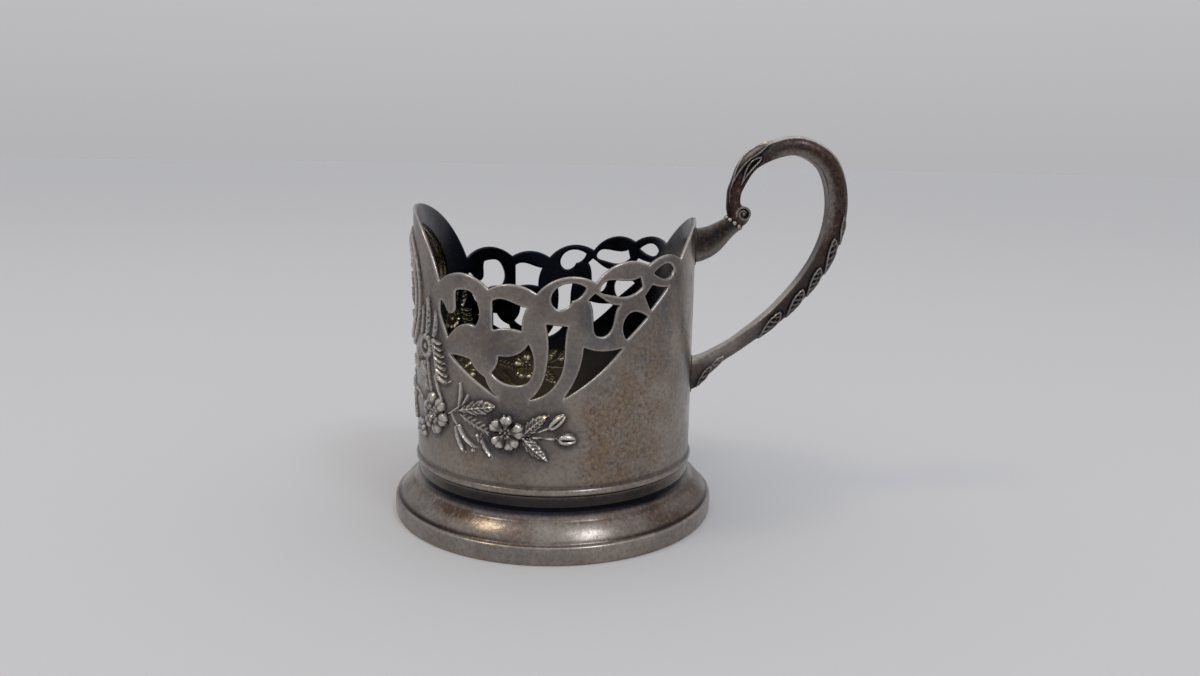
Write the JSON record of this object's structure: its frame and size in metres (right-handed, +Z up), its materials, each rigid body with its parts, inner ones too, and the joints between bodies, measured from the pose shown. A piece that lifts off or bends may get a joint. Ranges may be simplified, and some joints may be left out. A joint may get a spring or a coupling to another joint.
{
  "type": "tea glass holder",
  "caption": "Metal tea glass holder: a round stamped sleeve with an openwork scalloped rim and a high crest front and back, a spun foot and a cast leafy loop handle.",
  "frame": {"origin": "middle of the foot's underside, on the surface that it stands on", "axes": "+Z up along the sleeve's axis, +X towards the handle, Y across the handle"},
  "size_m": [0.1141, 0.0822, 0.0954],
  "materials": {
    "plated_sheet": "aged silver plate, dark patina in the hollows, worn bright on the raised parts",
    "plated_casting": "aged silver plate on a casting, satin with dark hollows",
    "solder": "dull grey soft solder"
  },
  "bodies": {
    "root": {"sleeve": "plated_sheet", "seam_solder": "solder", "bead_ring": "plated_sheet", "foot": "plated_sheet", "floor_plate": "plated_sheet", "foot_solder": "solder", "floor_solder": "solder", "handle_arm": "plated_casting", "bead_collar": "plated_casting", "handle_bow": "plated_casting", "arm_solder": "solder", "terminal_solder": "solder"}
  },
  "joints": []
}
